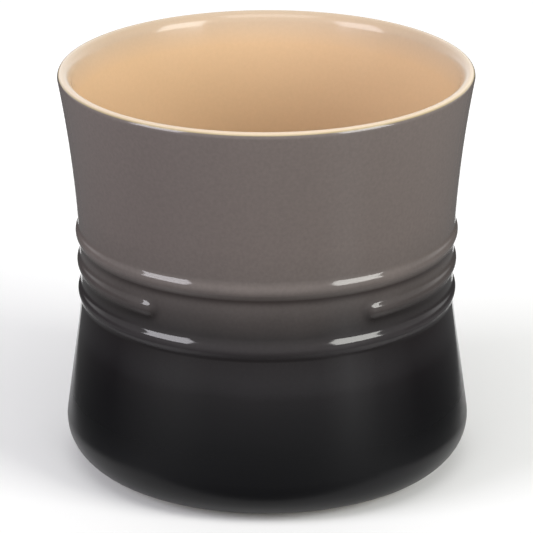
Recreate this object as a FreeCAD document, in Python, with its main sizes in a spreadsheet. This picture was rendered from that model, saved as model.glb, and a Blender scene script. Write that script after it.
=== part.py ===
"""Stoneware utensil crock: a fired clay vessel with three raised bands and three fused coats of glaze.

The origin is on the table under the middle of the crock, +Z is up and the plain panel faces -Y.
Sizes are in millimetres and degrees. They are those of the bare clay, and each coat stands proud of it.
"""
import FreeCAD, Part
import os
from math import atan, cos, degrees, radians, sin

import Sketcher

# Driving sizes, with what each one measures.
DRIVING_SIZES = {
    "height": (161.9, "table to the top of the lip"),
    "rim_radius": (82.0, "outermost circle of the lip"),
    "lip_radius": (2.0, "half the thickness of the rounded lip"),
    "waist_radius": (74.2, "narrowest circle of the outside"),
    "waist_level": (71.8, "height of the waist, where the lowest band sits"),
    "waist_blend": (5.0, "waist down to where the straight wall below would meet it unrounded"),
    "base_radius": (81.0, "widest circle of the base"),
    "base_round": (15.1, "round from that circle to the underside"),
    "base_lift": (1.7, "underside of the base round above the table"),
    "wall": (5.0, "wall at the waist"),
    "base_wall": (6.5, "wall at the widest circle of the base"),
    "floor": (7.0, "floor above the recess under it"),
    "inner_corner": (12.0, "round between the floor and the inner wall"),
    "foot_inset": (1.0, "step from the start of the base round in to the foot ring"),
    "foot_width": (5.0, "foot ring from its inner to its outer side"),
    "foot_round": (0.8, "rounded edges of the foot ring"),
    "recess": (2.6, "depth of the recess inside the foot ring"),
    "recess_round": (1.5, "round at the edge of the recess"),
    "band_pitch": (12.25, "from one band to the next"),
    "band_height": (5.5, "height of a band where it meets the wall"),
    "band_rise": (1.3, "how far a band stands out of the wall"),
    "band_foot_round": (1.2, "soft hollow where a band meets the wall"),
    "panel_angle": (72.0, "turn between the two ends of the broken middle band"),
    "glaze": (0.5, "thickness of each coat of glaze"),
    "seam_angle": (27.0, "where the two coats meet on the lip, above its outermost circle"),
    "coat_end_angle": (76.0, "where the outer coat ends on the base round, below its widest circle"),
    "overrun": (5.0, "how far a cutting form reaches past what it cuts"),
}

# Sizes that follow from the driving ones, written as formulas of the sheet.
DERIVED_SIZES = {
    "lip_centre_radius": "rim_radius - lip_radius",
    "lip_centre_level": "height - lip_radius",
    "base_centre_radius": "base_radius - base_round",
    "base_centre_level": "base_lift + base_round",
    "foot_outer": "base_centre_radius - foot_inset",
    "foot_inner": "foot_outer - foot_width",
    "floor_level": "recess + floor",
    "corner_centre_radius": "base_radius - base_wall - inner_corner",
    "corner_centre_level": "floor_level + inner_corner",
    "flare_reach": "lip_centre_radius - waist_radius",
    "flare_climb": "lip_centre_level - waist_level",
    "flare_round": "(flare_reach^2 + flare_climb^2 - lip_radius^2) / (2 * (lip_radius + flare_reach))",
    "inner_reach": "flare_reach + wall",
    "inner_flare_round": "(inner_reach^2 + flare_climb^2 - lip_radius^2)"
                         " / (2 * (inner_reach - lip_radius))",
    "blend_level": "waist_level - waist_blend",
    "cone_reach": "waist_radius - base_centre_radius",
    "cone_climb": "blend_level - base_centre_level",
    "cone_span": "sqrt(cone_reach^2 + cone_climb^2)",
    "cone_slope": "(atan2(cone_climb; cone_reach) - acos(base_round / cone_span)) / 1 deg",
    "waist_round": "waist_blend / tan(cone_slope * 1 deg / 2)",
    "inner_cone_reach": "waist_radius - wall - corner_centre_radius",
    "inner_cone_climb": "blend_level - corner_centre_level",
    "inner_cone_span": "sqrt(inner_cone_reach^2 + inner_cone_climb^2)",
    "inner_cone_slope": "(atan2(inner_cone_climb; inner_cone_reach)"
                        " - acos(inner_corner / inner_cone_span)) / 1 deg",
    "inner_waist_round": "waist_blend / tan(inner_cone_slope * 1 deg / 2)",
    "band_round": "(band_height^2 / 4 + band_rise^2) / (2 * band_rise)",
}

# Places on a sketch element, the sketch's own origin and its two axes.
START, END, CENTRE = 1, 2, 3
ORIGIN, ACROSS, UPRIGHT = -1, -1, -2
FULL_TURN, HALF_TURN, QUARTER_TURN = 360.0, 180.0, 90.0

# Two radii closer than this are the same one.
MATCH = 1e-6


class Section:
    """A half section in the XZ plane whose dimensions follow the sheet."""

    def __init__(self, document, label):
        self.body = document.addObject("PartDesign::Body", label)
        self.sketch = self.body.newObject("Sketcher::SketchObject", label + "_section")
        plane = next(item for item in self.body.Origin.OriginFeatures if item.Role == "XZ_Plane")
        self.sketch.AttachmentSupport = [(plane, "")]
        self.sketch.MapMode = "FlatFace"

    def line(self, start, end):
        return self.sketch.addGeometry(Part.LineSegment(spot(*start), spot(*end)), False)

    def arc(self, centre, radius, start, end):
        """An arc that runs anticlockwise from one angle to the other."""
        circle = Part.Circle(spot(*centre), FreeCAD.Vector(0, 0, 1), radius)
        return self.sketch.addGeometry(Part.ArcOfCircle(circle, radians(start), radians(end)), False)

    def bow(self, across, level, radius, turn):
        """An arc that leaves a point straight up or down and turns by an angle from there.

        A positive radius is hollow, with its centre outside the point, and a negative one swells.
        """
        near = HALF_TURN if radius > 0 else 0
        far = near - turn
        centre = (across + radius, level)
        arc = self.arc(centre, abs(radius), min(near, far), max(near, far))
        near_end, far_end = (START, END) if near < far else (END, START)
        return arc, near_end, far_end, on_circle(centre, abs(radius), far)

    def tie(self, kind, *items):
        return self.sketch.addConstraint(Sketcher.Constraint(kind, *items))

    def size(self, formula, kind, *items):
        """A dimension bound to a formula of the sheet."""
        index = self.tie(kind, *items, float(self.sketch.evalExpression(formula)))
        self.sketch.setExpression(f"Constraints[{index}]", formula)

    def angle(self, formula, line):
        """The direction of a line, from horizontal, bound to a formula of the sheet."""
        index = self.tie("Angle", line, radians(float(self.sketch.evalExpression(formula))))
        self.sketch.setExpression(f"Constraints[{index}]", f"({formula}) * 1 deg")

    def place(self, item, end, across, up):
        """Fix a point of the section by its radius and its height."""
        self.size(across, "DistanceX", ORIGIN, START, item, end)
        self.size(up, "DistanceY", ORIGIN, START, item, end)

    def revolve(self):
        """Turn the section about the crock's axis."""
        turn = self.body.newObject("PartDesign::Revolution", self.body.Label + "_turn")
        turn.Profile = self.sketch
        turn.ReferenceAxis = (self.sketch, ["V_Axis"])
        turn.Angle = FULL_TURN
        return self.body


def spot(across, up):
    return FreeCAD.Vector(across, up, 0)


def on_circle(centre, radius, angle):
    return centre[0] + radius * cos(radians(angle)), centre[1] + radius * sin(radians(angle))


def make_sheet(document):
    """Write the driving sizes and the formulas into one sheet."""
    sheet = document.addObject("Spreadsheet::Sheet", "sizes")
    row = 0
    for alias, (value, meaning) in DRIVING_SIZES.items():
        row += 1
        sheet.set(f"A{row}", meaning)
        sheet.set(f"B{row}", str(value))
        sheet.setAlias(f"B{row}", alias)
    for alias, formula in DERIVED_SIZES.items():
        row += 1
        sheet.set(f"A{row}", alias.replace("_", " "))
        sheet.set(f"B{row}", "=" + formula)
        sheet.setAlias(f"B{row}", alias)
    document.recompute()
    return sheet


def turn_of_flare(climb, radius, reach):
    """How far the flared wall turns from the waist to where it touches the round of the lip."""
    return degrees(atan(climb / (radius - reach)))


def draw_outside(section, sheet, coat):
    """The outside from the bottom of the base round up to the lip, under or over a coat of glaze."""
    proud = sheet.glaze if coat else 0.0
    add = " + sizes.glaze" if coat else ""
    less = " - sizes.glaze" if coat else ""
    base_centre = (sheet.base_centre_radius, sheet.base_centre_level)
    base_radius = sheet.base_round + proud
    lip_centre = (sheet.lip_centre_radius, sheet.lip_centre_level)
    across = sheet.waist_radius + proud
    turn = turn_of_flare(sheet.flare_climb, sheet.flare_round, sheet.flare_reach)

    bottom = -sheet.coat_end_angle if coat else -QUARTER_TURN
    top = sheet.seam_angle if coat else QUARTER_TURN
    base = section.arc(base_centre, base_radius, bottom, sheet.cone_slope)
    waist, waist_top, waist_foot, cone_top = section.bow(
        across, sheet.waist_level, sheet.waist_round - proud, -sheet.cone_slope)
    cone = section.line(on_circle(base_centre, base_radius, sheet.cone_slope), cone_top)
    flare, flare_foot, flare_top, _ = section.bow(
        across, sheet.waist_level, sheet.flare_round - proud, turn)
    lip = section.arc(lip_centre, sheet.lip_radius + proud, -turn, top)

    section.place(base, CENTRE, "sizes.base_centre_radius", "sizes.base_centre_level")
    section.size("sizes.base_round" + add, "Radius", base)
    section.tie("Tangent", base, END, cone, START)
    section.tie("Tangent", cone, END, waist, waist_foot)
    section.size(f"abs(sizes.waist_round{less})", "Radius", waist)
    section.tie("Tangent", waist, waist_top, flare, flare_foot)
    section.place(flare, flare_foot, "sizes.waist_radius" + add, "sizes.waist_level")
    section.tie("Horizontal", flare, CENTRE, flare, flare_foot)
    section.tie("Tangent", flare, flare_top, lip, START)
    section.place(lip, CENTRE, "sizes.lip_centre_radius", "sizes.lip_centre_level")
    section.size("sizes.lip_radius" + add, "Radius", lip)
    return base, lip


def draw_inside(section, sheet, coat, lip_start):
    """The inside from the middle of the floor up the wall and round the lip, under or over the liner."""
    proud = sheet.glaze if coat else 0.0
    add = " + sizes.glaze" if coat else ""
    less = " - sizes.glaze" if coat else ""
    corner_centre = (sheet.corner_centre_radius, sheet.corner_centre_level)
    corner_radius = sheet.inner_corner - proud
    lip_centre = (sheet.lip_centre_radius, sheet.lip_centre_level)
    across = sheet.waist_radius - sheet.wall - proud
    turn = turn_of_flare(sheet.flare_climb, sheet.inner_flare_round, sheet.inner_reach)

    floor = section.line((0, sheet.floor_level + proud),
                         on_circle(corner_centre, corner_radius, -QUARTER_TURN))
    corner = section.arc(corner_centre, corner_radius, -QUARTER_TURN, sheet.inner_cone_slope)
    waist, waist_top, waist_foot, cone_top = section.bow(
        across, sheet.waist_level, sheet.inner_waist_round + proud, -sheet.inner_cone_slope)
    cone = section.line(on_circle(corner_centre, corner_radius, sheet.inner_cone_slope), cone_top)
    flare, flare_foot, flare_top, _ = section.bow(
        across, sheet.waist_level, sheet.inner_flare_round + proud, turn)
    lip = section.arc(lip_centre, sheet.lip_radius + proud, lip_start, HALF_TURN - turn)

    section.tie("PointOnObject", floor, START, UPRIGHT)
    section.tie("Horizontal", floor)
    section.tie("Tangent", floor, END, corner, START)
    section.place(corner, CENTRE, "sizes.corner_centre_radius", "sizes.corner_centre_level")
    section.size("sizes.inner_corner" + less, "Radius", corner)
    section.tie("Tangent", corner, END, cone, START)
    section.tie("Tangent", cone, END, waist, waist_foot)
    section.size(f"abs(sizes.inner_waist_round{add})", "Radius", waist)
    section.tie("Tangent", waist, waist_top, flare, flare_foot)
    section.place(flare, flare_foot, "sizes.waist_radius - sizes.wall" + less, "sizes.waist_level")
    section.tie("Horizontal", flare, CENTRE, flare, flare_foot)
    section.tie("Tangent", flare, flare_top, lip, END)
    section.place(lip, CENTRE, "sizes.lip_centre_radius", "sizes.lip_centre_level")
    section.size("sizes.lip_radius" + add, "Radius", lip)
    return floor, lip


def draw_foot(section, sheet, base):
    """The recessed underside and the foot ring, from the axis out to the base round."""
    inner, outer, edge = sheet.foot_inner, sheet.foot_outer, sheet.foot_round
    top, bend = sheet.recess, sheet.recess_round
    recess = section.line((0, top), (inner - bend, top))
    hollow = section.arc((inner - bend, top - bend), bend, 0, QUARTER_TURN)
    inside = section.line((inner, top - bend), (inner, edge))
    inner_edge = section.arc((inner + edge, edge), edge, HALF_TURN, HALF_TURN + QUARTER_TURN)
    bottom = section.line((inner + edge, 0), (outer - edge, 0))
    outer_edge = section.arc((outer - edge, edge), edge, -QUARTER_TURN, 0)
    outside = section.line((outer, edge), (outer, sheet.base_lift))
    step = section.line((outer, sheet.base_lift), (sheet.base_centre_radius, sheet.base_lift))

    section.tie("Horizontal", recess)
    section.tie("Tangent", recess, END, hollow, END)
    section.tie("Tangent", hollow, START, inside, START)
    section.tie("Vertical", inside)
    section.tie("Tangent", inside, END, inner_edge, START)
    section.tie("Tangent", inner_edge, END, bottom, START)
    section.tie("Horizontal", bottom)
    section.tie("PointOnObject", bottom, START, ACROSS)
    section.tie("Tangent", bottom, END, outer_edge, START)
    section.tie("Tangent", outer_edge, END, outside, START)
    section.tie("Vertical", outside)
    section.tie("Coincident", outside, END, step, START)
    section.tie("Tangent", step, END, base, START)
    section.tie("Horizontal", step)
    section.place(recess, START, "0", "sizes.recess")
    section.size("sizes.recess_round", "Radius", hollow)
    section.size("sizes.foot_inner", "DistanceX", ORIGIN, START, inside, START)
    section.size("sizes.foot_round", "Radius", inner_edge)
    section.size("sizes.foot_round", "Radius", outer_edge)
    section.size("sizes.foot_outer", "DistanceX", ORIGIN, START, outside, START)
    return recess


def make_blank(document, sheet):
    """The clay outside with its foot, still solid within."""
    section = Section(document, "clay_blank")
    base, lip = draw_outside(section, sheet, coat=False)
    recess = draw_foot(section, sheet, base)
    top = section.line((sheet.lip_centre_radius, sheet.height), (0, sheet.height))
    axis = section.line((0, sheet.height), (0, sheet.recess))
    section.tie("Vertical", lip, CENTRE, lip, END)
    section.tie("Coincident", lip, END, top, START)
    section.tie("Horizontal", top)
    section.tie("Coincident", top, END, axis, START)
    section.tie("PointOnObject", top, END, UPRIGHT)
    section.tie("Coincident", axis, END, recess, START)
    return section.revolve()


def make_cavity(document, sheet):
    """The space inside the clay, carried up past the lip."""
    section = Section(document, "clay_cavity")
    floor, lip = draw_inside(section, sheet, coat=False, lip_start=QUARTER_TURN)
    over = sheet.height + sheet.overrun
    rise = section.line((sheet.lip_centre_radius, sheet.height), (sheet.lip_centre_radius, over))
    top = section.line((sheet.lip_centre_radius, over), (0, over))
    axis = section.line((0, over), (0, sheet.floor_level))
    section.tie("Vertical", lip, CENTRE, lip, START)
    section.tie("Coincident", lip, START, rise, START)
    section.tie("Vertical", rise)
    section.tie("Coincident", rise, END, top, START)
    section.tie("Horizontal", top)
    section.tie("Coincident", top, END, axis, START)
    section.place(top, END, "0", "sizes.height + sizes.overrun")
    section.tie("Coincident", axis, END, floor, START)
    return section.revolve()


def make_coat_blank(document, sheet):
    """The outside of the outer coat, from its end on the base round to the seam on the lip, filled within."""
    section = Section(document, "coat_blank")
    base, lip = draw_outside(section, sheet, coat=True)
    base_centre = (sheet.base_centre_radius, sheet.base_centre_level)
    lip_centre = (sheet.lip_centre_radius, sheet.lip_centre_level)
    coat_end = section.line(base_centre, on_circle(base_centre, sheet.base_round + sheet.glaze,
                                                   -sheet.coat_end_angle))
    seam = section.line(lip_centre, on_circle(lip_centre, sheet.lip_radius + sheet.glaze, sheet.seam_angle))
    top = section.line(lip_centre, (0, lip_centre[1]))
    axis = section.line((0, lip_centre[1]), (0, base_centre[1]))
    bottom = section.line((0, base_centre[1]), base_centre)
    section.tie("Coincident", coat_end, START, base, CENTRE)
    section.tie("Coincident", coat_end, END, base, START)
    section.angle("-sizes.coat_end_angle", coat_end)
    section.tie("Coincident", seam, START, lip, CENTRE)
    section.tie("Coincident", seam, END, lip, END)
    section.angle("sizes.seam_angle", seam)
    section.tie("Coincident", top, START, lip, CENTRE)
    section.tie("Horizontal", top)
    section.tie("PointOnObject", top, END, UPRIGHT)
    section.tie("Coincident", axis, START, top, END)
    section.tie("Coincident", axis, END, bottom, START)
    section.tie("PointOnObject", bottom, START, UPRIGHT)
    section.tie("Horizontal", bottom)
    section.tie("Coincident", bottom, END, base, CENTRE)
    return section.revolve()


def make_liner(document, sheet):
    """The cream coat: floor, inner wall and lip, as far as the seam on the outside of the lip."""
    section = Section(document, "inner_glaze")
    clay_floor, clay_lip = draw_inside(section, sheet, coat=False, lip_start=sheet.seam_angle)
    coat_floor, coat_lip = draw_inside(section, sheet, coat=True, lip_start=sheet.seam_angle)
    lip_centre = (sheet.lip_centre_radius, sheet.lip_centre_level)
    seam = section.line(on_circle(lip_centre, sheet.lip_radius, sheet.seam_angle),
                        on_circle(lip_centre, sheet.lip_radius + sheet.glaze, sheet.seam_angle))
    axis = section.line((0, sheet.floor_level), (0, sheet.floor_level + sheet.glaze))
    section.tie("Coincident", seam, START, clay_lip, START)
    section.tie("Coincident", seam, END, coat_lip, START)
    section.tie("PointOnObject", clay_lip, CENTRE, seam)
    section.angle("sizes.seam_angle", seam)
    section.tie("Coincident", axis, START, clay_floor, START)
    section.tie("Coincident", axis, END, coat_floor, START)
    return section.revolve()


def make_base_coat(document, sheet):
    """The dark coat in the recess under the floor."""
    section = Section(document, "base_glaze")
    corner = (sheet.foot_inner - sheet.recess_round, sheet.recess - sheet.recess_round)
    bends = []
    flats = []
    for proud, less in ((0.0, ""), (sheet.glaze, " - sizes.glaze")):
        level = sheet.recess - proud
        flat = section.line((0, level), (corner[0], level))
        bend = section.arc(corner, sheet.recess_round - proud, 0, QUARTER_TURN)
        section.tie("Horizontal", flat)
        section.tie("PointOnObject", flat, START, UPRIGHT)
        section.tie("Tangent", flat, END, bend, END)
        section.size("sizes.recess_round" + less, "Radius", bend)
        section.place(bend, CENTRE, "sizes.foot_inner - sizes.recess_round",
                      "sizes.recess - sizes.recess_round")
        section.tie("Horizontal", bend, CENTRE, bend, START)
        flats.append(flat)
        bends.append(bend)
    end = section.line((sheet.foot_inner, corner[1]), (sheet.foot_inner - sheet.glaze, corner[1]))
    axis = section.line((0, sheet.recess), (0, sheet.recess - sheet.glaze))
    section.tie("Coincident", end, START, bends[0], START)
    section.tie("Coincident", end, END, bends[1], START)
    section.tie("Coincident", axis, START, flats[0], START)
    section.tie("Coincident", axis, END, flats[1], START)
    return section.revolve()


def band_circle(step):
    """Formulas for the middle of a band's round: its circle about the axis, and its height."""
    climb = f"{step} * sizes.band_pitch"
    bow = f"sizes.flare_round * (1 - sqrt(1 - ({climb} / sizes.flare_round)^2))"
    wall = f"sizes.waist_radius + {bow}"
    return f"{wall} + sizes.band_rise - sizes.band_round", f"sizes.waist_level + {climb}"


def make_bands(document, name, thickness):
    """Three half-round bands; the middle one stops at a domed end on each side of the panel."""
    first_end = f"sizes.panel_angle / 2 - {QUARTER_TURN}"
    last_end = f"{FULL_TURN - QUARTER_TURN} - sizes.panel_angle / 2"
    pieces = []
    for step, place in enumerate(("low", "middle", "top")):
        circle, level = band_circle(step)
        ring = document.addObject("Part::Torus", f"{name}_{place}_band")
        ring.setExpression("Radius1", circle)
        ring.setExpression("Radius2", thickness)
        ring.setExpression("Placement.Base.z", level)
        ring.setExpression("Placement.Rotation.Angle", first_end)
        pieces.append(ring)
    circle, level = band_circle(1)
    pieces[1].setExpression("Angle3", f"{FULL_TURN} - sizes.panel_angle")
    for side, angle, turn in (("first", first_end, f"{HALF_TURN} + "), ("last", last_end, "")):
        dome = document.addObject("Part::Sphere", f"{name}_{side}_dome")
        dome.Angle3 = HALF_TURN
        dome.setExpression("Radius", thickness)
        dome.setExpression("Placement.Base.x", f"({circle}) * cos(({angle}) * 1 deg)")
        dome.setExpression("Placement.Base.y", f"({circle}) * sin(({angle}) * 1 deg)")
        dome.setExpression("Placement.Base.z", level)
        dome.setExpression("Placement.Rotation.Angle", turn + angle)
        pieces.append(dome)
    return pieces


def band_foot_edges(shape, thickness):
    """Numbers of the edges where the round of a band meets the wall."""
    def on_band(face):
        surface = face.Surface
        if isinstance(surface, Part.Sphere):
            return True
        return isinstance(surface, Part.Toroid) and abs(surface.MinorRadius - thickness) < MATCH

    numbers = []
    for number, edge in enumerate(shape.Edges, start=1):
        faces = shape.ancestorsOfType(edge, Part.Face)
        if len(faces) == 2 and on_band(faces[0]) != on_band(faces[1]):
            numbers.append(number)
    return numbers


def soften_bands(document, name, fused, thickness, foot_round):
    """Round the hollow along the foot of every band."""
    document.recompute()
    soft = document.addObject("Part::Fillet", name)
    soft.Base = fused
    soft.Edges = [(number, foot_round, foot_round) for number in band_foot_edges(fused.Shape, thickness)]
    return soft


def make_form(document, name, blank, thickness, thickness_value, foot_round):
    """A turned blank with the three bands grown out of it."""
    fused = document.addObject("Part::MultiFuse", name + "_with_bands")
    fused.Shapes = [blank] + make_bands(document, name, thickness)
    return soften_bands(document, name + "_form", fused, thickness_value, foot_round)


def cut(document, label, base, tool):
    result = document.addObject("Part::Cut", label)
    result.Base = base
    result.Tool = tool
    return result


def check_and_write(document, nodes):
    """Stop if anything failed to build, and otherwise write one file for each piece."""
    for item in document.Objects:
        if "Invalid" in item.State or "Error" in item.State:
            raise RuntimeError(f"{item.Label} failed: {item.State}")
    for node in nodes:
        if node.Shape.isNull() or not node.Shape.isValid() or len(node.Shape.Solids) != 1:
            raise RuntimeError(f"{node.Label} is not one valid solid")
    os.makedirs("parts", exist_ok=True)
    for node in nodes:
        node.Shape.exportStep(f"parts/{node.Label}.step")
        print(f"{node.Label}: {node.Shape.Volume:.1f} mm3")


def main():
    document = FreeCAD.newDocument("crock")
    sheet = make_sheet(document)
    clay_form = make_form(document, "clay", make_blank(document, sheet), "sizes.band_round",
                          sheet.band_round, sheet.band_foot_round)
    coat_form = make_form(document, "coat", make_coat_blank(document, sheet),
                          "sizes.band_round + sizes.glaze", sheet.band_round + sheet.glaze,
                          sheet.band_foot_round - sheet.glaze)
    body = cut(document, "stoneware_body", clay_form, make_cavity(document, sheet))
    outer_coat = cut(document, "outer_glaze", coat_form, clay_form)
    liner = make_liner(document, sheet)
    base_coat = make_base_coat(document, sheet)
    document.recompute()
    check_and_write(document, [body, outer_coat, liner, base_coat])


main()
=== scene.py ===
"""Utensil crock in graded stoneware glaze, dressed around its solids.

The frame is in metres. Sizes below are in millimetres and degrees, and MM turns millimetres to metres.
"""
from math import acos, atan, atan2, cos, degrees, exp, hypot, pi, radians, sin, sqrt, tan

import bpy
from mathutils import Matrix, Vector


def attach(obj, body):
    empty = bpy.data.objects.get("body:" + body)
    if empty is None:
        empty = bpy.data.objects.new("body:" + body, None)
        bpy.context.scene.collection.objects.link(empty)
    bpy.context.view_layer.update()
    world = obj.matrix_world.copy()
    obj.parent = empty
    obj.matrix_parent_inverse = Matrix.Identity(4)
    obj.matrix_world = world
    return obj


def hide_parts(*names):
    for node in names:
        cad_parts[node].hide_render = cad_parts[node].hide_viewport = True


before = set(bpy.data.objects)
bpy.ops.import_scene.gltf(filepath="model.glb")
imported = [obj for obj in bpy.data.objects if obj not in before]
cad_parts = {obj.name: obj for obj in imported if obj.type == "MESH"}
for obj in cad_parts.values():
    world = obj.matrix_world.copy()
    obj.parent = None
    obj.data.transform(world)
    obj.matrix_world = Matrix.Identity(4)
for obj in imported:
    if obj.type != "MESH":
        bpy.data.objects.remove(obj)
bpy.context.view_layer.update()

MM = 0.001
QUARTER_TURN = 90.0
HALF_TURN = 180.0
FULL_TURN = 360.0

# The outside, over its coat of glaze: base round, waist and lip. The straight wall below would reach the
# waist's radius at the blend's length under the waist, and a hollow rounds that corner off.
GLAZE = 0.5
BASE_CENTRE = (65.9, 16.8)
BASE_ROUND = 15.6
COAT_END_ANGLE = 76.0
WAIST_RADIUS = 74.7
WAIST_LEVEL = 71.8
WAIST_BLEND = 5.0
LIP_CENTRE = (80.46, 160.36)
LIP_ROUND = 2.04
SEAM_ANGLE = 36.0
CROCK_HEIGHT = 162.4

# The inside, over its coat: floor, corner, waist and mouth, which rolls out to the lip.
FLOOR_LEVEL = 10.1
CORNER_CENTRE = (62.5, 21.6)
CORNER_ROUND = 11.5
INNER_WAIST_RADIUS = 68.7
MOUTH = (77.7, CROCK_HEIGHT)
MOUTH_ACROSS = 2.76
MOUTH_DROP = 4.2

# The raised bands: a round that stands out of the wall, with a cove over it and a wider hollow under it.
# One band is broken by the panel at the front, and ends there in two domes.
BAND_PITCH = 12.25
BAND_COUNT = 3
BROKEN_BAND = 1
BAND_ROUND = 4.06
BAND_SUNK = 2.76
COVE_ROUND = 4.4
HOLLOW_ROUND = 5.4
PANEL_ANGLE = 72.0
PANEL_MIDDLE = 270.0

# Where the darkening under a band is deepest, from the band's middle line, and how far it spreads. It is
# partly glaze that pools there and partly painted shade.
POOL_AND_SHADE_PLACE = 3.9
POOL_AND_SHADE_BELOW = 2.0
POOL_AND_SHADE_ABOVE = 0.9

# How finely the coats are drawn: rows along their outlines.
BASE_ROWS = 14
WALL_ROWS = 4
HOLLOW_ROWS = 8
CREST_ROWS = 14
COVE_ROWS = 6
FLARE_ROWS = 10
LIP_ROWS = 8
LINER_LIP_ROWS = 10
MOUTH_ROWS = 20
INNER_WALL_ROWS = 36
CORNER_ROWS = 14
FLOOR_ROWS = 10

# How finely they are turned, with close steps at the domes, and how they are closed and shaded.
COARSE_STEP = 1.2
DOME_SPAN = 6.0
DOME_STEPS = 30
MERGE = 0.001
SMOOTH_ANGLE = 60.0


def linear(code, alpha=1.0):
    """An sRGB hex colour as linear values."""
    parts = [int(code[place:place + 2], 16) / 255 for place in (1, 3, 5)]
    return [part / 12.92 if part <= 0.04045 else ((part + 0.055) / 1.055) ** 2.4 for part in parts] + [alpha]


def add(tree, kind, inputs=(), **settings):
    """Add a node with its settings. Its inputs are named in a dict, or listed in the node's own order.

    Each input is a value, a socket to link, or a node whose first output in use is linked.
    """
    made = tree.nodes.new(kind)
    for name, value in settings.items():
        setattr(made, name, value)
    for socket, value in inputs.items() if isinstance(inputs, dict) else enumerate(inputs):
        if isinstance(value, bpy.types.Node):
            value = next(output for output in value.outputs if output.enabled)
        if isinstance(value, bpy.types.NodeSocket):
            tree.links.new(value, made.inputs[socket])
        else:
            made.inputs[socket].default_value = value
    return made


# Outlines of the crock, as points (radius, level).

def arc(centre, radius, start, end, steps):
    """Points along an arc between two angles, both ends included."""
    turns = [radians(start + (end - start) * step / steps) for step in range(steps + 1)]
    return [(centre[0] + radius * cos(turn), centre[1] + radius * sin(turn)) for turn in turns]


def between(start, end, steps):
    """Even values from start towards end, without the end."""
    return [start + (end - start) * step / steps for step in range(steps)]


class Wall:
    """A waisted wall: a straight slope below the waist, a hollow at it and a flare up to the lip."""

    def __init__(self, waist, round_centre, round_radius, lip_centre, lip):
        reach, climb = waist - round_centre[0], WAIST_LEVEL - WAIST_BLEND - round_centre[1]
        flare_reach, flare_climb = lip_centre[0] - waist, lip_centre[1] - WAIST_LEVEL
        self.waist = waist
        self.slope = atan2(climb, reach) - acos(round_radius / hypot(reach, climb))
        self.hollow = WAIST_BLEND / tan(self.slope / 2)
        self.flare = (flare_reach ** 2 + flare_climb ** 2 - lip ** 2) / (2 * (lip + flare_reach))
        self.turn = degrees(atan(flare_climb / (self.flare - flare_reach)))

    def radius(self, level):
        """The wall's radius at a level."""
        drop = WAIST_LEVEL - level
        if drop <= 0:
            return self.waist + self.flare - sqrt(self.flare ** 2 - drop ** 2)
        if drop <= self.hollow * sin(self.slope):
            return self.waist + self.hollow - sqrt(self.hollow ** 2 - drop ** 2)
        return self.waist + (drop - WAIST_BLEND) * tan(self.slope)


OUTER_WALL = Wall(WAIST_RADIUS, BASE_CENTRE, BASE_ROUND, LIP_CENTRE, LIP_ROUND)
INNER_WALL = Wall(INNER_WAIST_RADIUS, CORNER_CENTRE, CORNER_ROUND, MOUTH, 0)
BAND_LEVELS = [WAIST_LEVEL + step * BAND_PITCH for step in range(BAND_COUNT)]


def band_reach(foot_round):
    """How far from its middle line a band runs out into the wall, with this round at its foot."""
    return sqrt((BAND_ROUND + foot_round) ** 2 - (BAND_SUNK + foot_round) ** 2)


def band_meet(foot_round):
    """How far from its middle line the round of a band passes into the round at its foot."""
    return band_reach(foot_round) * BAND_ROUND / (BAND_ROUND + foot_round)


def band_rise(distance, foot_round):
    """How far a band stands out of the wall, at a distance from its middle line."""
    if distance <= band_meet(foot_round):
        return sqrt(BAND_ROUND ** 2 - distance ** 2) - BAND_SUNK
    left = max(0.0, band_reach(foot_round) - distance)
    return foot_round - sqrt(foot_round ** 2 - left ** 2)


def outer_levels():
    """Levels of the rows of the outer wall, close together on the bands and at their feet."""
    low = BASE_CENTRE[1] + BASE_ROUND * sin(OUTER_WALL.slope)
    top = LIP_CENTRE[1] - LIP_ROUND * sin(radians(OUTER_WALL.turn))
    levels = [low]
    for level in BAND_LEVELS:
        foot, hollow_end = level - band_reach(HOLLOW_ROUND), level - band_meet(HOLLOW_ROUND)
        cove_start, cove_end = level + band_meet(COVE_ROUND), level + band_reach(COVE_ROUND)
        levels += between(levels[-1], foot, WALL_ROWS)[1:]
        levels += between(foot, hollow_end, HOLLOW_ROWS)
        levels += between(hollow_end, cove_start, CREST_ROWS)
        levels += between(cove_start, cove_end, COVE_ROWS) + [cove_end]
    return levels[1:] + between(levels[-1], top, FLARE_ROWS)[1:]


def outer_outline():
    """From the wiped edge over the foot, up the base round and the wall, to the seam on the lip."""
    base = arc(BASE_CENTRE, BASE_ROUND, -COAT_END_ANGLE, degrees(OUTER_WALL.slope), BASE_ROWS)
    wall = [(OUTER_WALL.radius(level), level) for level in outer_levels()]
    lip = arc(LIP_CENTRE, LIP_ROUND, -OUTER_WALL.turn, SEAM_ANGLE, LIP_ROWS)
    return [(radius, 0, level) for radius, level in base + wall + lip]


def mouth_point(turn):
    """A point of the mouth, which makes a quarter turn from the inner wall to the crest of the lip."""
    level = MOUTH[1] - MOUTH_DROP * (1 - sin(radians(turn)))
    return INNER_WALL.radius(level) + MOUTH_ACROSS * (1 - cos(radians(turn))), level


def inner_outline():
    """From the seam over the lip, down the mouth and the inner wall, to the middle of the floor."""
    lip = arc(LIP_CENTRE, LIP_ROUND, SEAM_ANGLE, QUARTER_TURN, LINER_LIP_ROWS)
    mouth = [mouth_point(turn) for turn in between(QUARTER_TURN, 0, MOUTH_ROWS)[1:]]
    low = CORNER_CENTRE[1] + CORNER_ROUND * sin(INNER_WALL.slope)
    levels = between(MOUTH[1] - MOUTH_DROP, low, INNER_WALL_ROWS)
    wall = [(INNER_WALL.radius(level), level) for level in levels]
    corner = arc(CORNER_CENTRE, CORNER_ROUND, degrees(INNER_WALL.slope), -QUARTER_TURN, CORNER_ROWS)
    floor = [(radius, FLOOR_LEVEL) for radius in between(CORNER_CENTRE[0], 0, FLOOR_ROWS)[1:] + [0]]
    return [(radius, 0, level) for radius, level in lip + mouth + wall + corner + floor]


# Modelling.

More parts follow.
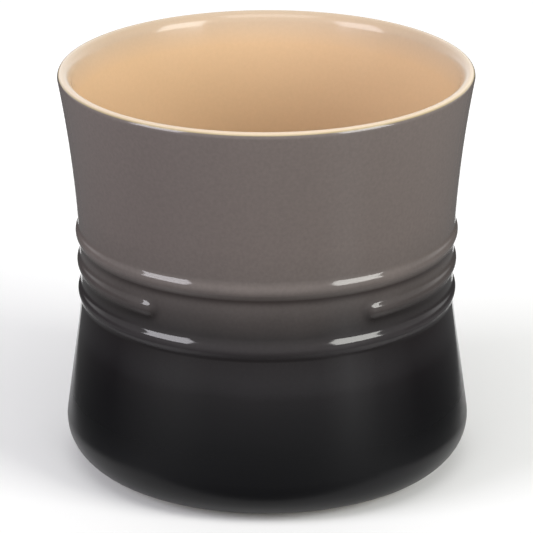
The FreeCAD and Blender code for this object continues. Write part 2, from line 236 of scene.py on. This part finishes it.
def draw_line(name, points):
    """A new object whose mesh is an open line through the points, left in edit mode and selected."""
    bpy.ops.object.select_all(action="DESELECT")
    bpy.ops.mesh.primitive_plane_add(size=MM)
    piece = bpy.context.object
    piece.name = name
    bpy.ops.object.mode_set(mode="EDIT")
    bpy.ops.mesh.merge(type="CENTER")
    bpy.ops.transform.translate(value=Vector(points[0]) * MM)
    for before, point in zip(points, points[1:]):
        step = (Vector(point) - Vector(before)) * MM
        bpy.ops.mesh.extrude_vertices_move(TRANSFORM_OT_translate={"value": step})
    bpy.ops.mesh.select_all(action="SELECT")
    return piece


def turn_outline(spans):
    """Turn the drawn line about the crock's axis, span by span, and close it where it meets itself."""
    for angle, steps in spans:
        bpy.ops.mesh.spin(steps=steps, angle=radians(angle), center=(0, 0, 0), axis=(0, 0, 1))
    bpy.ops.mesh.select_all(action="SELECT")
    bpy.ops.mesh.remove_doubles(threshold=MERGE * MM)
    bpy.ops.mesh.normals_make_consistent(inside=False)
    bpy.ops.object.mode_set(mode="OBJECT")


def band_place(radius, angle, level, step):
    """Distance from the middle line of a band, which may stop at the panel, and how much of it is upwards."""
    climb = level - BAND_LEVELS[step]
    inside = PANEL_ANGLE / 2 - abs((angle - PANEL_MIDDLE + HALF_TURN) % FULL_TURN - HALF_TURN)
    past_end = radius * radians(inside) if step == BROKEN_BAND and inside > 0 else 0.0
    distance = hypot(climb, past_end)
    upwards = climb / distance if distance else 0.0
    return distance, upwards


def raise_bands(piece):
    """Push the bands out of the wall, and note each point's rise and its painted shade and pooled glaze under
    a band.
    """
    mesh = piece.data
    rise = mesh.attributes.new("rise", "FLOAT", "POINT")
    pool_and_shade = mesh.attributes.new("pool_and_shade", "FLOAT", "POINT")
    for vertex in mesh.vertices:
        radius = hypot(vertex.co.x, vertex.co.y) / MM
        angle = degrees(atan2(vertex.co.y, vertex.co.x)) % FULL_TURN
        height = depth = 0.0
        for step in range(BAND_COUNT):
            distance, upwards = band_place(radius, angle, vertex.co.z / MM, step)
            foot_round = HOLLOW_ROUND + (COVE_ROUND - HOLLOW_ROUND) * (1 + upwards) / 2
            past_pool_and_shade = distance - POOL_AND_SHADE_PLACE
            spread = POOL_AND_SHADE_BELOW if past_pool_and_shade > 0 else POOL_AND_SHADE_ABOVE
            height = max(height, band_rise(distance, foot_round))
            # Darkening under a band: partly glaze that pools there, partly painted shade.
            depth = max(depth, (1 - upwards) / 2 * exp(-(past_pool_and_shade / spread) ** 2))
        grown = (radius + height) / radius
        vertex.co.x *= grown
        vertex.co.y *= grown
        rise.data[vertex.index].value = height
        pool_and_shade.data[vertex.index].value = depth


def note_down(piece):
    """Note on each point how far the surface faces down there."""
    mesh = piece.data
    mesh.update()
    down = mesh.attributes.new("down", "FLOAT", "POINT")
    for vertex in mesh.vertices:
        down.data[vertex.index].value = max(0.0, -vertex.normal.z)


def note_seam(piece, side):
    """Note on each point how far it lies from the seam between the coats, over the lip and down the wall.

    It counts up inwards. The side is 1 for the coat inside and -1 for the coat outside.
    """
    mesh = piece.data
    seam = mesh.attributes.new("seam", "FLOAT", "POINT")
    for vertex in mesh.vertices:
        across = hypot(vertex.co.x, vertex.co.y) / MM - LIP_CENTRE[0]
        climb = vertex.co.z / MM - LIP_CENTRE[1]
        turn = atan2(climb, across) if climb > 0 else pi * (side + 1) / 2
        seam.data[vertex.index].value = LIP_ROUND * (turn - radians(SEAM_ANGLE)) + side * max(0.0, -climb)


def thicken(piece):
    """Give a coat its thickness, behind the surface that shows, and shade it smooth."""
    coat = piece.modifiers.new("coat", "SOLIDIFY")
    coat.thickness = GLAZE * MM
    coat.offset = -1
    coat.use_even_offset = True
    bpy.ops.object.modifier_apply(modifier=coat.name)
    bpy.ops.object.shade_smooth_by_angle(angle=radians(SMOOTH_ANGLE))


def outer_spans():
    """Spans of a full turn from +X, with close steps at the two domed ends of the broken band."""
    ends = [PANEL_MIDDLE - PANEL_ANGLE / 2, PANEL_MIDDLE + PANEL_ANGLE / 2 - DOME_SPAN]
    spans = []
    before = 0.0
    for end in ends:
        spans.append((end - before, round((end - before) / COARSE_STEP)))
        spans.append((DOME_SPAN, DOME_STEPS))
        before = end + DOME_SPAN
    return spans + [(FULL_TURN - before, round((FULL_TURN - before) / COARSE_STEP))]


def make_outer_coat():
    """The outer coat of glaze, from over the foot up to the seam on the lip."""
    piece = draw_line("outer_coat", outer_outline())
    turn_outline(outer_spans())
    raise_bands(piece)
    note_down(piece)
    note_seam(piece, -1)
    thicken(piece)
    return piece


def make_liner_coat():
    """The liner coat of glaze, from the seam over the lip down to the floor."""
    piece = draw_line("liner_coat", inner_outline())
    turn_outline([(FULL_TURN, round(FULL_TURN / COARSE_STEP))])
    note_seam(piece, 1)
    thicken(piece)
    return piece


# Materials.

# A Mix node of colours: its inputs, and its settings to mix or to multiply them.
SHARE, FIRST, SECOND = 0, 6, 7
MIX = {"data_type": "RGBA", "blend_type": "MIX"}
MULTIPLY = {"data_type": "RGBA", "blend_type": "MULTIPLY"}

# Most of a smooth noise lies between these.
NOISE_LOW = 0.3
NOISE_HIGH = 0.7

# Gloss of the glazes, as roughness. The outer coat is satin and shines less low down and where it faces down.
GLAZE_IOR = 1.5
LINER_IOR = 1.42
GLOSS = 0.09
GLOSS_LEVEL = 58.0
SATIN = 0.33
SATIN_LEVEL = 20.0
SATIN_DOWN_SHARE = 0.35
FULL_SHINE = 0.5
SATIN_SHINE = 0.21
LINER_GLOSS = 0.13
UNDERSIDE_GLOSS = 0.12

# The faint waves of a fired surface, and how strongly each coat shows them.
PEEL_SIZE = 5.0
PEEL_DEPTH = 0.02
OUTER_PEEL = 0.12
LINER_PEEL = 0.2
UNDERSIDE_PEEL = 0.4

# The fine patches of pigment in a glaze, and how much paler and darker they are on each coat.
MOTTLE_SIZE = 1.4
OUTER_MOTTLE = 0.05
LINER_MOTTLE = 0.015
UNDERSIDE_MOTTLE = 0.1

# The outer coat's colour by level, and how far the sprayed levels wander, in how wide patches.
OUTER_STOPS = [(0, "#0d0d10"), (30, "#0e0e10"), (45, "#141315"), (52, "#191719"), (60, "#282628"),
               (68, "#302d2f"), (74, "#302d2e"), (78, "#322f2f"), (84, "#443f3e"), (92, "#5b5553"),
               (100, "#68605d"), (112, "#6e6562"), (CROCK_HEIGHT, "#746b68")]
WANDER = 2.0
WANDER_SIZE = 45.0

# Where the outer coat thins over a band, from this rise to the crest, and how much paler it is at the crest.
THIN_RISE = 0.2
THIN_GAIN = 1.2

# Distances from the seam over which colours pass into each other.
OUTER_TOAST = (-0.35, -0.05)
LINER_TOAST = (0.15, 0.8)
LIP_TO_MOUTH = (1.0, 4.0)
MOUTH_TO_WALL = (6.0, 16.0)

# Bare clay: its grit and its dark specks, and the part of each noise that shows.
CLAY_ROUGHNESS = 0.8
GRIT_SIZE = 0.6
GRIT_DETAIL = 4.0
GRIT_DEPTH = 0.08
GRIT_STRENGTH = 0.5
GRIT_SHARES = (0.35, 0.65)
SPECK_SIZE = 0.9
SPECK_SHARES = (0.68, 0.74)

# The table's painted glow, which rises from the crock to this far behind it.
GLOW_NEAR = 0.04
GLOW_FAR = 0.42
GLOW_REACH = 400.0


def new_material(name):
    """An empty node material, its tree, and places on the piece in metres of the frame."""
    material = bpy.data.materials.new(name)
    material.use_nodes = True
    tree = material.node_tree
    tree.nodes.clear()
    return material, tree, add(tree, "ShaderNodeTexCoord").outputs["Object"]


def sprayed_colour(tree, place, level):
    """The outer coat's colour by its level, which wanders a little as the edge of a spray does."""
    patches = add(tree, "ShaderNodeTexNoise", {"Vector": place, "Scale": 1 / (WANDER_SIZE * MM)})
    wander = add(tree, "ShaderNodeMapRange", [patches, NOISE_LOW, NOISE_HIGH, -WANDER * MM, WANDER * MM])
    sprayed = add(tree, "ShaderNodeMath", [level, wander], operation="ADD")
    share = add(tree, "ShaderNodeMapRange", [sprayed, 0.0, CROCK_HEIGHT * MM])
    colour = add(tree, "ShaderNodeValToRGB", {"Fac": share})
    elements = colour.color_ramp.elements
    while len(elements) < len(OUTER_STOPS):
        elements.new(1.0)
    for element, (height, code) in zip(elements, OUTER_STOPS):
        element.position = height / CROCK_HEIGHT
        element.color = linear(code)
    return colour


def mottle(tree, place, colour, depth):
    """A colour with the fine paler and darker patches that pigment makes in a glaze."""
    patches = add(tree, "ShaderNodeTexNoise", {"Vector": place, "Scale": 1 / (MOTTLE_SIZE * MM)})
    shade = add(tree, "ShaderNodeMapRange", [patches, NOISE_LOW, NOISE_HIGH, 1 - depth, 1 + depth])
    return add(tree, "ShaderNodeMix", {SHARE: 1.0, FIRST: colour, SECOND: shade}, **MULTIPLY)


def finish_glaze(tree, place, colour, roughness, peel, ior=GLAZE_IOR, shine=FULL_SHINE):
    """A gloss glaze of this colour, with the faint unevenness that a fired surface has."""
    wave = add(tree, "ShaderNodeTexNoise", {"Vector": place, "Scale": 1 / (PEEL_SIZE * MM)})
    bump = add(tree, "ShaderNodeBump", {"Height": wave, "Strength": peel, "Distance": PEEL_DEPTH * MM})
    sockets = {"Base Color": colour, "Roughness": roughness, "IOR": ior, "Specular IOR Level": shine,
               "Normal": bump}
    shader = add(tree, "ShaderNodeBsdfPrincipled", sockets)
    add(tree, "ShaderNodeOutputMaterial", {"Surface": shader})


def graded_glaze():
    """Gloss glaze sprayed from warm grey down to near black: deep and wet, pale where it thins over the bands
    and dark under them, partly where glaze pools and partly painted shade, with a toasted line along the lip.
    It turns satin towards the foot and where it faces down."""
    material, tree, place = new_material("graded_stoneware_glaze")
    level = add(tree, "ShaderNodeSeparateXYZ", {"Vector": place}).outputs["Z"]
    rise = add(tree, "ShaderNodeAttribute", attribute_name="rise").outputs["Fac"]
    pool_and_shade = add(tree, "ShaderNodeAttribute", attribute_name="pool_and_shade").outputs["Fac"]
    seam = add(tree, "ShaderNodeAttribute", attribute_name="seam").outputs["Fac"]
    down = add(tree, "ShaderNodeAttribute", attribute_name="down").outputs["Fac"]
    colour = sprayed_colour(tree, place, level)
    thin = add(tree, "ShaderNodeMapRange", [rise, THIN_RISE, BAND_ROUND - BAND_SUNK, 1.0, THIN_GAIN])
    colour = add(tree, "ShaderNodeMix", {SHARE: 1.0, FIRST: colour, SECOND: thin}, **MULTIPLY)
    # Painted shade and pooled glaze: under each band the colour is darkened towards this grey.
    colour = add(tree, "ShaderNodeMix", {SHARE: pool_and_shade, FIRST: colour, SECOND: linear("#a6a0a0")}, **MULTIPLY)
    colour = mottle(tree, place, colour, OUTER_MOTTLE)
    toast = add(tree, "ShaderNodeMapRange", [seam, *OUTER_TOAST])
    colour = add(tree, "ShaderNodeMix", {SHARE: toast, FIRST: colour, SECOND: linear("#9c8f74")}, **MIX)
    low = add(tree, "ShaderNodeMapRange", [level, SATIN_LEVEL * MM, GLOSS_LEVEL * MM, SATIN, GLOSS])
    under = add(tree, "ShaderNodeMapRange", [down, 0.0, SATIN_DOWN_SHARE, GLOSS, SATIN])
    roughness = add(tree, "ShaderNodeMath", [low, under], operation="MAXIMUM")
    shine = add(tree, "ShaderNodeMapRange", [roughness, GLOSS, SATIN, FULL_SHINE, SATIN_SHINE])
    finish_glaze(tree, place, colour, roughness, OUTER_PEEL, shine=shine)
    return material


def cream_glaze():
    """Gloss cream liner glaze: warm inside, paler over the lip, with a toasted line along the grey coat."""
    material, tree, place = new_material("cream_liner_glaze")
    seam = add(tree, "ShaderNodeAttribute", attribute_name="seam").outputs["Fac"]
    mouth = add(tree, "ShaderNodeMapRange", [seam, *LIP_TO_MOUTH])
    wall = add(tree, "ShaderNodeMapRange", [seam, *MOUTH_TO_WALL])
    toast = add(tree, "ShaderNodeMapRange", [seam, *LINER_TOAST, 1.0, 0.0])
    lip_and_mouth = {SHARE: mouth, FIRST: linear("#e1cdb4"), SECOND: linear("#c8b29a")}
    colour = add(tree, "ShaderNodeMix", lip_and_mouth, **MIX)
    colour = add(tree, "ShaderNodeMix", {SHARE: wall, FIRST: colour, SECOND: linear("#d7b792")}, **MIX)
    colour = mottle(tree, place, colour, LINER_MOTTLE)
    colour = add(tree, "ShaderNodeMix", {SHARE: toast, FIRST: colour, SECOND: linear("#b7a582")}, **MIX)
    finish_glaze(tree, place, colour, LINER_GLOSS, LINER_PEEL, LINER_IOR)
    return material


def dark_glaze():
    """Gloss near-black glaze in the recess under the floor, nearly as dark as the foot of the outer coat."""
    material, tree, place = new_material("near_black_base_glaze")
    colour = mottle(tree, place, linear("#131315"), UNDERSIDE_MOTTLE)
    finish_glaze(tree, place, colour, UNDERSIDE_GLOSS, UNDERSIDE_PEEL)
    return material


def bare_stoneware():
    """Bare fired clay: pale buff, matt and gritty, with fine dark grog."""
    material, tree, place = new_material("bare_stoneware")
    grains = {"Vector": place, "Scale": 1 / (GRIT_SIZE * MM), "Detail": GRIT_DETAIL}
    grit = add(tree, "ShaderNodeTexNoise", grains)
    pale = add(tree, "ShaderNodeMapRange", [grit, *GRIT_SHARES])
    buff = {SHARE: pale, FIRST: linear("#b9a88d"), SECOND: linear("#d2c2a8")}
    colour = add(tree, "ShaderNodeMix", buff, **MIX)
    grog = add(tree, "ShaderNodeTexNoise", {"Vector": place, "Scale": 1 / (SPECK_SIZE * MM)})
    specks = add(tree, "ShaderNodeMapRange", [grog, *SPECK_SHARES])
    colour = add(tree, "ShaderNodeMix", {SHARE: specks, FIRST: colour, SECOND: linear("#6f5b45")}, **MIX)
    uneven = {"Height": grit, "Strength": GRIT_STRENGTH, "Distance": GRIT_DEPTH * MM}
    bump = add(tree, "ShaderNodeBump", uneven)
    matt = {"Base Color": colour, "Roughness": CLAY_ROUGHNESS, "Normal": bump}
    shader = add(tree, "ShaderNodeBsdfPrincipled", matt)
    add(tree, "ShaderNodeOutputMaterial", {"Surface": shader})
    return material


def white_table():
    """Plain white table top with a painted glow, for the camera and reflections, that rises towards the back:
    it shows white and keeps its shadow, and throws little light back up."""
    material, tree, place = new_material("white_table")
    path = add(tree, "ShaderNodeLightPath").outputs
    seen = add(tree, "ShaderNodeMath", [path["Is Camera Ray"], path["Is Glossy Ray"]], operation="MAXIMUM")
    seen = add(tree, "ShaderNodeMath", [seen, path["Is Transmission Ray"]], operation="MAXIMUM")
    away = add(tree, "ShaderNodeSeparateXYZ", {"Vector": place}).outputs["Y"]
    # Painted glow, seen only by the camera and in reflections, weak by the crock and stronger further behind
    # it.
    strength = add(tree, "ShaderNodeMapRange", [away, 0.0, GLOW_REACH * MM, GLOW_NEAR, GLOW_FAR])
    glow = add(tree, "ShaderNodeEmission", {"Color": linear("#ffffff"), "Strength": strength})
    matt = add(tree, "ShaderNodeBsdfDiffuse", {"Color": linear("#f6f6f6")})
    shown = add(tree, "ShaderNodeAddShader", [matt, glow])
    dull = add(tree, "ShaderNodeBsdfDiffuse", {"Color": linear("#9a9a9a")})
    surface = add(tree, "ShaderNodeMixShader", [seen, dull, shown])
    add(tree, "ShaderNodeOutputMaterial", {"Surface": surface})
    return material


def dress(piece, material):
    """Give a piece one material."""
    piece.data.materials.clear()
    piece.data.materials.append(material)


def dress_node(name, material):
    """Give a solid of the frame another material, in the slots of its object."""
    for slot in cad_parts[name].material_slots:
        slot.material = material


# The studio: a pale table, two tall softboxes at the sides, one overhead and a dim room.

# The camera: where it stands around the crock, and how the picture is framed.
CAMERA_AZIMUTH = 2.3
CAMERA_ELEVATION = 20.533
CAMERA_DISTANCE = 1449.8
CAMERA_ROLL = -0.184
LOOK_LEVEL = 78.8
LOOK_ASIDE = -0.14
FOCAL_PIXELS = 3600.0
PICTURE_PIXELS = 533.0
SENSOR = 36.0

# The table top, which widens away from the camera and lies just under the foot.
TABLE_GAP = 0.05
TABLE_FRONT = -87.0
TABLE_FRONT_HALF = 105.5
TABLE_BACK = 665.0
TABLE_BACK_HALF = 158.5

# The softboxes at the sides, with the azimuth of each from the panel's side, its radiance and its colour.
SOFTBOX_DISTANCE = 1100.0
SOFTBOX_SIZE = (590.0, 765.0)
SOFTBOX_LIFT = 255.0
SIDE_SOFTBOXES = {"left_softbox": (-58.7, 7.2, "#fbf9ff"), "right_softbox": (56.8, 9.0, "#fffffa")}

# The softbox overhead, in front of the crock.
OVERHEAD_PLACE = (0, -600.0, 1200.0)
OVERHEAD_LOOK = (0, 0, 100.0)
OVERHEAD_SIZE = (900.0, 600.0)
OVERHEAD_RADIANCE = 2.9
OVERHEAD_COLOUR = "#ffffff"

# The room: how bright each side of it is, and the shares of a unit direction over which one side passes into
# the next.
GROUND_FRONT = 0.35
GROUND_BACK = 0.04
GROUND_NEAR = 0.22
WALL_SIDE = 0.35
WALL_BACK = 1.35
CEILING = 0.1
GROUND_FRONT_SHARES = (0.15, -0.42)
GROUND_NEAR_SHARES = (-0.22, -0.45)
WALL_BACK_SHARES = (0.3, 0.8)
CEILING_SHARES = (0.55, 0.8)
HORIZON_SHARES = (-0.04, 0.1)

# Light that spills on the ground from the softboxes: its azimuths and strengths, and how far it spreads.
SPILLS = [(-50.0, 0.08), (52.0, 0.3)]
SPILL_SPREAD = 18.0


def make_table():
    """A plain pale top under the crock, just wider than the picture."""
    corners = [(-TABLE_FRONT_HALF, TABLE_FRONT), (TABLE_FRONT_HALF, TABLE_FRONT),
               (TABLE_BACK_HALF, TABLE_BACK), (-TABLE_BACK_HALF, TABLE_BACK)]
    table = draw_line("table", [(across, away, -TABLE_GAP) for across, away in corners])
    bpy.ops.mesh.edge_face_add()
    bpy.ops.transform.rotate(value=-radians(CAMERA_AZIMUTH), orient_axis="Z", center_override=(0, 0, 0))
    bpy.ops.object.mode_set(mode="OBJECT")
    dress(table, white_table())


def make_softbox(name, place, look, size, radiance, colour):
    """A rectangular area light at a place, facing another, that shows with this radiance in reflections."""
    light = bpy.data.lights.new(name, "AREA")
    light.shape = "RECTANGLE"
    light.size = size[0] * MM
    light.size_y = size[1] * MM
    light.color = linear(colour)[:3]
    light.energy = radiance * pi * light.size * light.size_y
    lamp = bpy.data.objects.new(name, light)
    bpy.context.collection.objects.link(lamp)
    lamp.location = Vector(place) * MM
    lamp.rotation_euler = (Vector(look) - Vector(place)).to_track_quat("-Z", "Y").to_euler()


def make_side_softboxes():
    """Softboxes that stand upright at the sides and face the crock."""
    level = SOFTBOX_LIFT + SOFTBOX_SIZE[1] / 2
    for name, (azimuth, radiance, colour) in SIDE_SOFTBOXES.items():
        turn = radians(azimuth)
        place = (sin(turn) * SOFTBOX_DISTANCE, -cos(turn) * SOFTBOX_DISTANCE, level)
        make_softbox(name, place, (0, 0, level), SOFTBOX_SIZE, radiance, colour)


def make_room():
    """A dim room: a pale wall behind the crock, a dark ceiling, and a dark ground that is lit in front of the
    crock and more where light spills from the softboxes."""
    world = bpy.data.worlds.new("room")
    bpy.context.scene.world = world
    world.use_nodes = True
    tree = world.node_tree
    direction = add(tree, "ShaderNodeTexCoord").outputs["Generated"]
    axes = add(tree, "ShaderNodeSeparateXYZ", {"Vector": direction}).outputs
    ground = add(tree, "ShaderNodeMapRange", [axes["Y"], *GROUND_FRONT_SHARES, GROUND_BACK, GROUND_FRONT])
    near = add(tree, "ShaderNodeMapRange", [axes["Z"], *GROUND_NEAR_SHARES])
    ground = add(tree, "ShaderNodeMix", {"Factor": near, "A": ground, "B": GROUND_NEAR})
    forward = add(tree, "ShaderNodeMath", [axes["Y"], -1.0], operation="MULTIPLY")
    azimuth = add(tree, "ShaderNodeMath", [axes["X"], forward], operation="ARCTAN2")
    for middle, strength in SPILLS:
        aside = add(tree, "ShaderNodeMath", [azimuth, radians(middle)], operation="SUBTRACT")
        aside = add(tree, "ShaderNodeMath", [aside], operation="ABSOLUTE")
        spill = add(tree, "ShaderNodeMapRange", [aside, radians(SPILL_SPREAD), 0.0, 0.0, strength])
        ground = add(tree, "ShaderNodeMath", [ground, spill], operation="ADD")
    walls = add(tree, "ShaderNodeMapRange", [axes["Y"], *WALL_BACK_SHARES, WALL_SIDE, WALL_BACK])
    high = add(tree, "ShaderNodeMapRange", [axes["Z"], *CEILING_SHARES])
    walls = add(tree, "ShaderNodeMix", {"Factor": high, "A": walls, "B": CEILING})
    above = add(tree, "ShaderNodeMapRange", [axes["Z"], *HORIZON_SHARES])
    brightness = add(tree, "ShaderNodeMix", {"Factor": above, "A": ground, "B": walls})
    background = tree.nodes["Background"].inputs
    tree.links.new(brightness.outputs[0], background["Strength"])
    background["Color"].default_value = linear("#ffffff")


def make_camera():
    """A long lens in front of the crock and above it, a little to its right."""
    turn, tilt = radians(CAMERA_AZIMUTH), radians(CAMERA_ELEVATION)
    away = Vector((sin(turn) * cos(tilt), -cos(turn) * cos(tilt), sin(tilt)))
    right = Vector((cos(turn), sin(turn), 0))
    look = Vector((0, 0, LOOK_LEVEL)) + right * LOOK_ASIDE
    data = bpy.data.cameras.new("camera")
    data.sensor_width = SENSOR
    data.lens = SENSOR * FOCAL_PIXELS / PICTURE_PIXELS
    camera = bpy.data.objects.new("camera", data)
    bpy.context.collection.objects.link(camera)
    rotation = (-away).to_track_quat("-Z", "Y").to_matrix() @ Matrix.Rotation(radians(CAMERA_ROLL), 3, "Z")
    camera.matrix_world = Matrix.Translation((look + away * CAMERA_DISTANCE) * MM) @ rotation.to_4x4()
    bpy.context.scene.camera = camera


outer = make_outer_coat()
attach(outer, "root")
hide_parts("outer_glaze")
dress(outer, graded_glaze())

liner = make_liner_coat()
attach(liner, "root")
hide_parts("inner_glaze")
dress(liner, cream_glaze())

dress_node("base_glaze", dark_glaze())
dress_node("stoneware_body", bare_stoneware())

make_table()
make_side_softboxes()
make_softbox("overhead_softbox", OVERHEAD_PLACE, OVERHEAD_LOOK, OVERHEAD_SIZE, OVERHEAD_RADIANCE,
             OVERHEAD_COLOUR)
make_room()
make_camera()
bpy.context.scene.view_settings.view_transform = "Standard"
